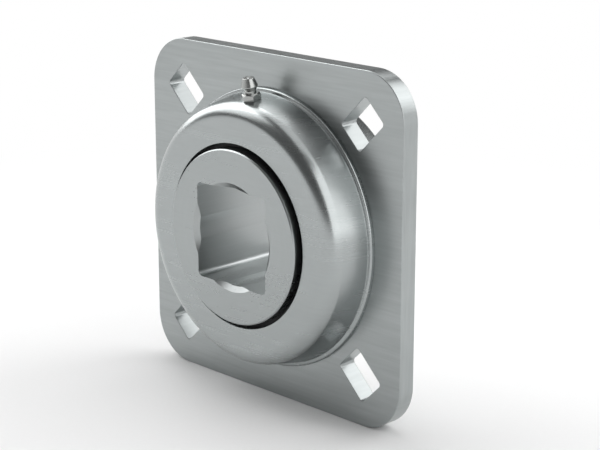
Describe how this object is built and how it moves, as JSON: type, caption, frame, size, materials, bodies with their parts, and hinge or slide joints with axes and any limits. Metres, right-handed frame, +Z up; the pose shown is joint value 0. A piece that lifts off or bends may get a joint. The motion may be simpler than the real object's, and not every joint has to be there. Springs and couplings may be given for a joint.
{
  "type": "flange bearing",
  "caption": "Square flange bearing: pressed steel cups on a thick slotted plate hold a sealed ball bearing with a square bore, greased through a nipple.",
  "frame": {"origin": "on the bore axis, in the plane of the plate's back face, which is the mounting face", "axes": "+Y along the bore axis out of the back, so the front with the grease nipple faces -Y; +Z up through the nipple; +X to the right seen from the front"},
  "size_m": [0.1396, 0.0508, 0.1396],
  "materials": {
    "plate_steel": "satin, fine level grain",
    "cup_steel": "satin, fine level grain, bright on the shoulder",
    "bearing_steel": "ground, satin",
    "ball_steel": "polished",
    "cage_steel": "pressed sheet, satin",
    "rivet_steel": "headed, satin",
    "shroud_steel": "black phosphate, matte",
    "seal_rubber": "moulded nitrile, matte",
    "nipple_steel": "turned and plated, semi-gloss",
    "spring_steel": "drawn wire"
  },
  "bodies": {
    "housing": {"flange_plate": "plate_steel", "front_cup": "cup_steel", "rear_cup": "cup_steel", "outer_ring": "bearing_steel", "front_seal_shroud": "shroud_steel", "rear_seal_shroud": "shroud_steel", "front_seal_lips": "seal_rubber", "rear_seal_lips": "seal_rubber", "grease_nipple": "nipple_steel", "nipple_spring": "spring_steel"},
    "inner_ring": {"inner_ring": "bearing_steel"},
    "cage": {"front_cage_half": "cage_steel", "rear_cage_half": "cage_steel", "cage_rivets": "rivet_steel"},
    "ball_1": {"ball_1": "ball_steel"},
    "ball_2": {"ball_2": "ball_steel"},
    "ball_3": {"ball_3": "ball_steel"},
    "ball_4": {"ball_4": "ball_steel"},
    "ball_5": {"ball_5": "ball_steel"},
    "ball_6": {"ball_6": "ball_steel"},
    "ball_7": {"ball_7": "ball_steel"},
    "ball_8": {"ball_8": "ball_steel"},
    "ball_9": {"ball_9": "ball_steel"},
    "ball_10": {"ball_10": "ball_steel"},
    "check_ball": {"nipple_check_ball": "ball_steel"}
  },
  "joints": [
    {"name": "inner_ring_spin", "type": "hinge", "parent": "housing", "child": "inner_ring", "pos_m": [0, -0.00397, 0], "axis": [0, 1, 0], "continuous": true},
    {"name": "cage_spin", "type": "hinge", "parent": "housing", "child": "cage", "pos_m": [0, -0.00397, 0], "axis": [0, 1, 0], "continuous": true},
    {"name": "ball_1_roll", "type": "hinge", "parent": "cage", "child": "ball_1", "pos_m": [0, -0.00397, 0.03875], "axis": [0, 1, 0], "continuous": true},
    {"name": "ball_2_roll", "type": "hinge", "parent": "cage", "child": "ball_2", "pos_m": [-0.02278, -0.00397, 0.03135], "axis": [0, 1, 0], "continuous": true},
    {"name": "ball_3_roll", "type": "hinge", "parent": "cage", "child": "ball_3", "pos_m": [-0.03685, -0.00397, 0.01197], "axis": [0, 1, 0], "continuous": true},
    {"name": "ball_4_roll", "type": "hinge", "parent": "cage", "child": "ball_4", "pos_m": [-0.03685, -0.00397, -0.01197], "axis": [0, 1, 0], "continuous": true},
    {"name": "ball_5_roll", "type": "hinge", "parent": "cage", "child": "ball_5", "pos_m": [-0.02278, -0.00397, -0.03135], "axis": [0, 1, 0], "continuous": true},
    {"name": "ball_6_roll", "type": "hinge", "parent": "cage", "child": "ball_6", "pos_m": [0, -0.00397, -0.03875], "axis": [0, 1, 0], "continuous": true},
    {"name": "ball_7_roll", "type": "hinge", "parent": "cage", "child": "ball_7", "pos_m": [0.02278, -0.00397, -0.03135], "axis": [0, 1, 0], "continuous": true},
    {"name": "ball_8_roll", "type": "hinge", "parent": "cage", "child": "ball_8", "pos_m": [0.03685, -0.00397, -0.01197], "axis": [0, 1, 0], "continuous": true},
    {"name": "ball_9_roll", "type": "hinge", "parent": "cage", "child": "ball_9", "pos_m": [0.03685, -0.00397, 0.01197], "axis": [0, 1, 0], "continuous": true},
    {"name": "ball_10_roll", "type": "hinge", "parent": "cage", "child": "ball_10", "pos_m": [0.02278, -0.00397, 0.03135], "axis": [0, 1, 0], "continuous": true},
    {"name": "check_ball_lift", "type": "slide", "parent": "housing", "child": "check_ball", "axis": [0, 0.1908, -0.9816], "range_m": [0, 0.0008], "stiffness_N_per_m": 300, "springref_m": -0.002, "deforming": ["nipple_spring"]}
  ],
  "couplings": [
    {"joint": "cage_spin", "follows": "inner_ring_spin", "ratio": 0.40782},
    {"joint": "ball_1_roll", "follows": "inner_ring_spin", "ratio": -2.6199},
    {"joint": "ball_2_roll", "follows": "inner_ring_spin", "ratio": -2.6199},
    {"joint": "ball_3_roll", "follows": "inner_ring_spin", "ratio": -2.6199},
    {"joint": "ball_4_roll", "follows": "inner_ring_spin", "ratio": -2.6199},
    {"joint": "ball_5_roll", "follows": "inner_ring_spin", "ratio": -2.6199},
    {"joint": "ball_6_roll", "follows": "inner_ring_spin", "ratio": -2.6199},
    {"joint": "ball_7_roll", "follows": "inner_ring_spin", "ratio": -2.6199},
    {"joint": "ball_8_roll", "follows": "inner_ring_spin", "ratio": -2.6199},
    {"joint": "ball_9_roll", "follows": "inner_ring_spin", "ratio": -2.6199},
    {"joint": "ball_10_roll", "follows": "inner_ring_spin", "ratio": -2.6199}
  ]
}
